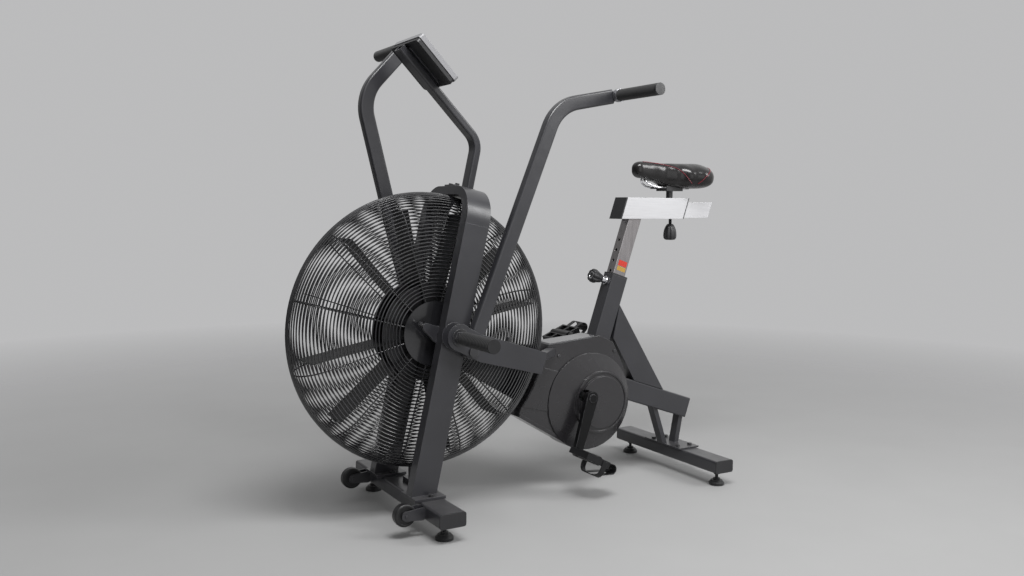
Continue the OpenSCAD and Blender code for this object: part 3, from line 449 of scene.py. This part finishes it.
black_leather = leather("saddle_black_leather", (0.011, 0.010, 0.0105))
red_leather = leather("saddle_red_piping", (0.16, 0.012, 0.022))
NU, NV = 60, 64
verts = []
for i in range(NU):
    t = (1 - math.cos(math.pi * (0.02 + 0.98 * i / (NU - 1)))) / 2
    t = 0.003 + 0.997 * t
    verts += [saddle_point(t, 2 * math.pi * j / NV + 0.03) for j in range(NV)]
saddle = piece("saddle_cover", verts, capped(NU, NV), black_leather, "slider", subdiv=1)
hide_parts("saddle")


def seam(name, path, side_sign, r=0.0015):
    """Piping along (t, phi) points on the saddle's skin."""
    pts = []
    n = 60
    for i in range(n):
        u = i / (n - 1) * (len(path) - 1)
        k = min(int(u), len(path) - 2)
        f = u - k
        t = path[k][0] + (path[k + 1][0] - path[k][0]) * f
        phi = math.radians(path[k][1] + (path[k + 1][1] - path[k][1]) * f)
        q = saddle_point(t, phi, 0.0004)
        pts.append((q.x, side_sign * q.y, q.z))
    tube(name, pts, r, red_leather, "slider", seg=8)


WING_SEAM = [(0.10, 66), (0.22, 58), (0.36, 48), (0.46, 34), (0.54, 16), (0.60, -6), (0.64, -28)]
REAR_SEAM = [(0.94, 62), (0.90, 40), (0.85, 22), (0.80, 6), (0.75, -10), (0.71, -28)]
for s, tag in ((-1, "left"), (1, "right")):
    seam("piping_wing_" + tag, WING_SEAM, s)
    seam("piping_rear_" + tag, REAR_SEAM, s)

# ---------- wires under the saddle ----------
WIRE = [(0.452, 0.006, 0.975), (0.462, 0.014, 0.962), (0.482, 0.020, 0.953), (0.505, 0.022, 0.949),
        (0.56, 0.022, 0.9483), (0.61, 0.024, 0.949), (0.63, 0.030, 0.956), (0.645, 0.042, 0.966)]
WIRE_R = 0.0033
for s, tag in ((-1, "left"), (1, "right")):
    points = [(x, s * y, z) for x, y, z in WIRE]
    tube("saddle_wire_" + tag, points, WIRE_R, M["chrome"], "slider")

# painted shadow: a dark ring put in the shade of the gap between the rail's open rear end and the sliding
# tube
lean = math.tan(tilt)


RAIL_FOOT = 0.847
SHADOW_RING_FRONT, SHADOW_RING_REAR = 0.6005, 0.6035
SHADOW_RING_OUTSIDE = (0.0303, 0.8467, 0.9153)      # half width, lowest and highest
SHADOW_RING_INSIDE = (0.0285, 0.8487, 0.9133)


def rail_ring(x, half_y, z0, z1):
    """Corners of the rail's section at its slanted end."""
    corners = ((-half_y, z0), (half_y, z0), (half_y, z1), (-half_y, z1))
    return [(x + (z - RAIL_FOOT) * lean, y, z) for y, z in corners]


rings = [rail_ring(SHADOW_RING_FRONT, *SHADOW_RING_OUTSIDE), rail_ring(SHADOW_RING_REAR, *SHADOW_RING_OUTSIDE),
         rail_ring(SHADOW_RING_REAR, *SHADOW_RING_INSIDE), rail_ring(SHADOW_RING_FRONT, *SHADOW_RING_INSIDE)]
shadow_ring_faces = [(4 * i + j, 4 * i + (j + 1) % 4, 4 * ((i + 1) % 4) + (j + 1) % 4, 4 * ((i + 1) % 4) + j)
               for i in range(4) for j in range(4)]
shadow_ring_points = [v for r in rings for v in r]
# painted shadow: this dark ring stands where the gap between rail and slider lies in shade
piece("rail_end_shadow_ring", shadow_ring_points, shadow_ring_faces, M["end_cap"], "seat", smooth=False)

# ---------- knobs ----------
POST_TOP = Vector((0.351, 0, 0.662))
along = Vector((math.sin(tilt), 0, math.cos(tilt)))      # up the seat post
across = Vector((math.cos(tilt), 0, -math.sin(tilt)))    # out of its rear face
PIN_BELOW_TOP = 0.024
pin_at = POST_TOP - PIN_BELOW_TOP * along
PIN_KNOB = [
    (0.0048, 0.0275), (0.0048, 0.0541), (0.0125, 0.0542), (0.0138, 0.0556, 0.2), (0.0155, 0.062, 0.6),
    (0.0178, 0.070, 1), (0.0208, 0.0750, 1), (0.0220, 0.079, 1), (0.0220, 0.087, 1), (0.0212, 0.0915, 1),
    (0.0185, 0.0945, 0.8), (0.0135, 0.0950), (0.0128, 0.0925), (0.005, 0.0920)]
PIN_RING = [(0.0085, 0.0916), (0.0085, 0.0936), (0.0120, 0.0940), (0.0122, 0.0928), (0.0122, 0.0916)]
RAIL_KNOB = [
    (0.005, -0.003), (0.005, 0.0170), (0.0085, 0.0172), (0.0110, 0.0190, 0.3), (0.0160, 0.027, 0.8),
    (0.0195, 0.036, 1), (0.0214, 0.046, 1), (0.0220, 0.056, 1), (0.0208, 0.064, 0.9),
    (0.0170, 0.0688, 0.6), (0.0105, 0.0702), (0.0100, 0.0690), (0.003, 0.0688)]
knob = lathe("post_pin_knob", pin_at, -across, PIN_KNOB, M["knob"], "post_pin",
             seg=96, lobes=8, depth=0.16)
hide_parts("post_pin")
lathe("post_pin_ring", pin_at, -across, PIN_RING, M["chrome"], "post_pin")
rail_knob = lathe("rail_clamp_knob", (0.572, 0, RAIL_FOOT), (0, 0, -1), RAIL_KNOB, M["knob"],
                  "rail_knob", seg=96, lobes=9, depth=0.14)
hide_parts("rail_knob")

# ---------- seat post's plain colour band, in place of its label ----------
band_red = material(
    "band_red", (0.52, 0.035, 0.02), 0.35, vary=0.05, bumps=((300, 0.03, 0.0002),), round_edge=0)
band_amber = material(
    "band_amber", (0.42, 0.26, 0.05), 0.35, vary=0.05, bumps=((300, 0.03, 0.0002),), round_edge=0)


BAND_X = (-0.018, 0.016)
FILM_Y = (-0.01902, -0.01915)      # inner and outer face, just proud of the post


def patch(name, z0, z1, mat):
    """A thin film on the left face of the seat post, in the post's own directions."""
    x0, x1 = BAND_X
    v = []
    for y in FILM_Y:
        for a, b in ((x0, z0), (x1, z0), (x1, z1), (x0, z1)):
            q = POST_TOP + a * across + b * along
            v.append((q.x, y, q.z))
    f = [(0, 1, 2, 3), (4, 5, 6, 7), (0, 1, 5, 4), (1, 2, 6, 5), (2, 3, 7, 6), (3, 0, 4, 7)]
    piece(name, v, f, mat, "seat", smooth=False)


patch("post_band_red", 0.034, 0.052, band_red)
patch("post_band_amber", 0.018, 0.032, band_amber)

# ---------- floor, light ----------
floor_mat = bpy.data.materials.new("floor")
floor_mat.use_nodes = True
nt = floor_mat.node_tree
bsdf = nt.nodes["Principled BSDF"]
bsdf.inputs["Roughness"].default_value = 0.85
bsdf.inputs["Specular IOR Level"].default_value = 0.2
link(nt, mixed(nt, noise(nt, 3, 6), (0.33, 0.33, 0.33), (0.36, 0.36, 0.36)), bsdf.inputs["Base Color"])
clear = nt.nodes.new("ShaderNodeBsdfTransparent")
mix = nt.nodes.new("ShaderNodeMixShader")
length = nt.nodes.new("ShaderNodeVectorMath")
length.operation = "LENGTH"
link(nt, coords(nt), length.inputs[0])
link(nt, remap(nt, length.outputs["Value"], 1.3, 4.5, 0, 1), mix.inputs["Fac"])
link(nt, bsdf.outputs["BSDF"], mix.inputs[1])
link(nt, clear.outputs["BSDF"], mix.inputs[2])
link(nt, mix.outputs["Shader"], nt.nodes["Material Output"].inputs["Surface"])
bpy.ops.mesh.primitive_circle_add(vertices=96, radius=5.0, fill_type="NGON")
floor = bpy.context.object
floor.name = "floor"
floor.data.materials.append(floor_mat)

world = bpy.data.worlds.new("world")
scene.world = world
world.use_nodes = True
nt = world.node_tree
bg = nt.nodes["Background"]
bg.inputs["Color"].default_value = (0.50, 0.50, 0.505, 1)
soft = nt.nodes.new("ShaderNodeBackground")
dot = nt.nodes.new("ShaderNodeVectorMath")
dot.operation = "DOT_PRODUCT"
dot.inputs[1].default_value = (0.66, -0.22, 0.72)
link(nt, coords(nt, "Generated"), dot.inputs[0])
link(nt, remap(nt, dot.outputs["Value"], -0.75, 0.95, 0.03, 0.75), soft.inputs["Color"])
both = nt.nodes.new("ShaderNodeMixShader")
path = nt.nodes.new("ShaderNodeLightPath")
link(nt, path.outputs["Is Camera Ray"], both.inputs["Fac"])
link(nt, soft.outputs["Background"], both.inputs[1])
link(nt, bg.outputs["Background"], both.inputs[2])
link(nt, both.outputs["Shader"], nt.nodes["World Output"].inputs["Surface"])


def lamp(name, at, to, size, power):
    data = bpy.data.lights.new(name, "AREA")
    data.shape = "RECTANGLE"
    data.size, data.size_y = size
    data.energy = power
    o = bpy.data.objects.new(name, data)
    o.location = at
    o.rotation_euler = (Vector(to) - Vector(at)).to_track_quat("-Z", "Y").to_euler()
    scene.collection.objects.link(o)


lamp("key", (2.2, -2.4, 2.4), (0.0, 0, 0.6), (1.0, 1.6), 52)
lamp("top", (-0.5, -1.5, 3.2), (0.1, 0, 0.6), (1.5, 1.0), 85)
lamp("fill", (-0.6, -3.2, 1.4), (0.0, 0, 0.6), (2.0, 1.4), 7)
